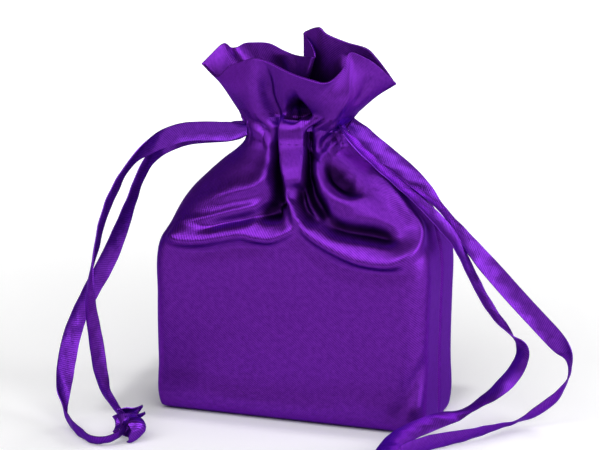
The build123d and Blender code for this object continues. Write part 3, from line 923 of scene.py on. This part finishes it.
# ---- casing: facings and ribbon bands
PANELS = (("front", front_points, -1), ("back", back_points, 1))
NEAR_SEAM = 5  # the column whose heights tell a panel's rows apart
FACING_INSET = 1.7
FACING_BOTTOM, FACING_TOP = CASING_BOTTOM + 0.2, CASING_TOP - 0.1
FACING_MARGIN = 8  # columns that the facing keeps from the side seams
FACING_CLOTH = 0.4
BAND_INSET = 0.9
BAND_HEIGHT = 3.4  # the ribbon is bunched in the casing
BAND_POINTS = 420
SKIPPED = 10  # columns beside each opening where the ribbon leaves the channel


def rows_between(points, low, high):
    """A panel's rows between two heights, measured near its left seam."""
    heights = points[:, NEAR_SEAM, 2]
    return points[(heights >= low) & (heights <= high)]


def row_at(points, height):
    """The number of the panel's row that is nearest to a height."""
    return int(np.argmin(np.abs(points[:, NEAR_SEAM, 2] - height)))


LEVEL = np.array([1.0, 1.0, 0.0])
level_normals = {side: unit(normals_of(base_panel(side), side)[-1] * LEVEL) for side in (-1, 1)}
for name, points, side in PANELS:
    rows = rows_between(points, FACING_BOTTOM, FACING_TOP) - level_normals[side] * FACING_INSET
    rows = rows[:, FACING_MARGIN:-FACING_MARGIN][:, ::-side]
    facing = sheet_grid(rows, f"{name}_facing_cloth", CLOTH, FLAT_WIDTH, CASING_TOP - CASING_BOTTOM)
    thicken(facing, FACING_CLOTH)
    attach(facing, "bag")
    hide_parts(f"{name}_casing")


def row_line(points, side, height, inset):
    """One row of the panel at a height, as a line from left to right, moved into the bag by inset."""
    return points[row_at(points, height)] - level_normals[side] * inset


# Each drawstring's band starts at one opening, passes the other and comes back to where it started.
for name, direction in (("left", -1), ("right", 1)):
    starts = [RIBBONS[f"{name}_ribbon_{end}"]["route"][0] for end in ("front", "back")]
    exit_x, _, height = starts[0]
    kept = slice(SKIPPED, -2) if direction < 0 else slice(2, -SKIPPED)
    front_line = row_line(front_points, -1, height, BAND_INSET)[kept][::-direction]
    back_line = row_line(back_points, 1, height, BAND_INSET)[kept][::direction]
    line = np.vstack([starts[0], front_line, back_line, starts[1]])
    line[:, 2] = height
    line = resample(line, BAND_POINTS)
    for _ in range(3):
        line[1:-1] = (line[:-2] + line[2:]) / 2
    upright = np.tile([0.0, 0.0, 1.0], (len(line), 1))
    band = ribbon_strip(f"{name}_ribbon_band", line, upright, BAND_HEIGHT, curl=0.0)
    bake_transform(band)
    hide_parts(f"{name}_ribbon_loop")


# ---- stitches
THREAD_RADIUS = 0.17
STITCH_RINGS, STITCH_SIDES = 5, 6
STITCH_CROWN = 0.06  # how far a stitch's middle stands out
STITCH_DEPTH = 0.14  # how deep the casing's threads are pulled into the cloth
STITCH_MARGIN = 0.5  # from the casing's upper and lower edges


def stitch_row(name, lines, length, gap, sink):
    """A row of thread stitches along each line of points. sink is how far a stitch's ends dip in."""
    points, faces = [], []
    for line, outward in lines:
        lengths = lengths_along(line)
        start = gap / 2
        while start + length < lengths[-1]:
            wanted = start + length * np.linspace(0, 1, STITCH_RINGS)
            centre = at_lengths(line, lengths, wanted)
            out = unit(at_lengths(outward, lengths, wanted))
            centre += out * np.array([-sink, 0.0, STITCH_CROWN, 0.0, -sink])[:, None]
            tangent = unit(np.gradient(centre, axis=0))
            cross = unit(np.cross(tangent, out))
            first = len(points)
            for ring in range(STITCH_RINGS):
                for corner in range(STITCH_SIDES):
                    angle = 2 * math.pi * corner / STITCH_SIDES
                    offset = math.cos(angle) * cross[ring] + math.sin(angle) * out[ring]
                    points.append(centre[ring] + THREAD_RADIUS * offset)
            tube = grid_faces(STITCH_RINGS, STITCH_SIDES, closed=True)
            tube.append(range(STITCH_SIDES - 1, -1, -1))
            tube.append(range((STITCH_RINGS - 1) * STITCH_SIDES, STITCH_RINGS * STITCH_SIDES))
            faces += [tuple(first + corner for corner in face) for face in tube]
            start += length + gap
    return smooth_mesh(name, points, faces, THREAD)


for name, height in (("lower", CASING_BOTTOM + STITCH_MARGIN), ("upper", CASING_TOP - STITCH_MARGIN)):
    lines = []
    for _, points, side in PANELS:
        index = row_at(points, height)
        outward = normals_of(points, side)[index]
        lines.append((points[index] - outward * STITCH_DEPTH, outward))
    thread = stitch_row(f"{name}_casing_thread", lines, length=1.6, gap=0.9, sink=0.3)
    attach(thread, "bag")
    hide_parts(f"{name}_casing_stitches")

# ---- side seams inside the bag
ALLOWANCE_COLUMNS = 15
ALLOWANCE_INSET = 0.75
ALLOWANCE_CLOTH = 0.4
ALLOWANCE_WIDTH = 9.0  # of its flat cloth
SEAM_THREAD_INSET = ALLOWANCE_CLOTH + 0.1

for name, direction in (("left", -1), ("right", 1)):
    seam_low, seam_high = box_mm(f"{name}_side_seam")
    parts = []
    for _, points, _ in PANELS:
        rows = rows_between(points, seam_low[2], seam_high[2])[:, ::-direction]
        parts.append(rows[:, 1:ALLOWANCE_COLUMNS])
    grid = np.concatenate([parts[0][:, ::-1], parts[1]], axis=1)[:, ::-direction]
    grid[:, :, 0] -= direction * ALLOWANCE_INSET
    seam_height = seam_high[2] - seam_low[2]
    strip = sheet_grid(grid[:, ::-1], f"{name}_seam_cloth", CLOTH, ALLOWANCE_WIDTH, seam_height)
    thicken(strip, ALLOWANCE_CLOTH)
    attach(strip, "bag")
    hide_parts(f"{name}_side_seam")
    middle = grid[:, grid.shape[1] // 2]
    inward = np.tile([-direction * 1.0, 0.0, 0.0], (len(middle), 1))
    line = middle + inward * SEAM_THREAD_INSET
    thread = stitch_row(f"{name}_seam_thread", [(line, inward)], length=2.4, gap=1.2, sink=0.25)
    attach(thread, "bag")
    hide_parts(f"{name}_seam_stitches")

# ---- knots and their tails
WRAP_POINTS = 40
WRAP_WIDTH = 4.6  # the ribbon is creased where it is knotted
TAIL_POINTS = 26
# Each turn of a knot: its radii, where it starts and ends in degrees, and how far it leans.
KNOT_TURNS = [
    ((3.2, 3.2, 3.0), 0, 330, 0.15),
    ((3.7, 3.6, 3.6), 40, 380, 0.3),
    ((4.1, 4.0, 4.0), 100, 400, -0.25),
]


def wrap(centre, radii, axis, start, end, tilt):
    """A turn of ribbon around a knot: its line and the direction of its width. Angles are in degrees."""
    axis = unit(np.array(axis, float))
    side = unit(np.cross(axis, [0.31, 0.17, 0.93]))
    other = np.cross(axis, side)
    angles = np.radians(np.linspace(start, end, WRAP_POINTS))
    spokes = np.cos(angles)[:, None] * side + np.sin(angles)[:, None] * other
    drift = np.linspace(-tilt, tilt, WRAP_POINTS)[:, None] * axis
    line = np.array(centre) + (spokes + drift) * np.array(radii)
    return line, np.tile(axis, (WRAP_POINTS, 1))


def add_knot(name, body, centre, axes, tails):
    """An overhand knot of flat ribbon: its turns and its loose ends.

    Each end has the direction of its width, its width, the pointed share of its length, and its route.
    """
    turns, ends = [], []
    for index, (axis, (radii, start, end, tilt)) in enumerate(zip(axes, KNOT_TURNS)):
        line, wide = wrap(centre, radii, axis, start, end, tilt)
        turn = ribbon_strip(f"{name}_turn_{index + 1}", line, wide, WRAP_WIDTH, curl=-0.9, ripple=0.2)
        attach(turn, body)
        turns.append(turn)
    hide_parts(f"{name}_ribbon_knot")
    for index, (wide, width, pointed, route) in enumerate(tails):
        line = through(route, TAIL_POINTS)
        taper = np.interp(np.linspace(0, 1, TAIL_POINTS), [0.0, 1 - pointed, 1.0], [1.0, 1.0, 0.1])
        wides = np.tile(np.array(wide, float), (TAIL_POINTS, 1))
        end = ribbon_strip(f"{name}_end_{index + 1}", line, wides, width, curl=0.8, ripple=0.2, taper=taper)
        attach(end, body)
        ends.append(end)
    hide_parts(f"{name}_ribbon_tails")
    return turns + ends


KNOTS = {
    "left": dict(
        centre=(-43.9, -46.4, 4.5),
        axes=[(0.55, 0.2, 0.8), (0.9, -0.3, 0.1), (-0.3, 0.5, 0.8)],
        tails=[
            ((0.3, 0.3, -0.9), 4.2, 0.6, [
                (-46.4, -46.4, 7.4), (-44, -46.4, 8), (-41.6, -46, 8.8), (-39, -45.6, 10.7),
            ]),
            ((0.3, 0.5, -0.8), 3.6, 0.6, [
                (-45.4, -46.8, 5.8), (-42.8, -46.2, 6.8), (-40.6, -45.8, 7.2), (-38.2, -45.4, 8.3),
            ]),
            ((0.5, 0.8, 0.1), 5.6, 0.2, [
                (-43, -47.6, 6), (-40.2, -49, 6.6), (-38.9, -49.6, 4.4), (-40.6, -50.2, 1.6),
                (-42.4, -50.4, 0.6),
            ]),
        ],
    ),
    "right": dict(
        centre=(41.6, -57.4, 4.4),
        axes=[(0.3, 0.6, 0.7), (0.2, 0.9, -0.2), (0.6, -0.3, 0.7)],
        tails=[
            ((0.1, 0.3, 0.9), 5.6, 0.3, [
                (41, -58.6, 4.2), (37.6, -60.4, 3.4), (34.6, -62, 3), (31.4, -63.2, 3.2),
            ]),
            ((0.3, 0.1, 0.9), 5.6, 0.3, [
                (41.4, -59, 3.6), (41.8, -62.2, 3), (41, -65, 2.9), (41.2, -67.8, 3.1),
            ]),
        ],
    ),
}
knot_pieces = {name: add_knot(name, f"{name}_drawstring", **facts) for name, facts in KNOTS.items()}
for name, facts in RIBBONS.items():
    strip, line = ribbons[name]
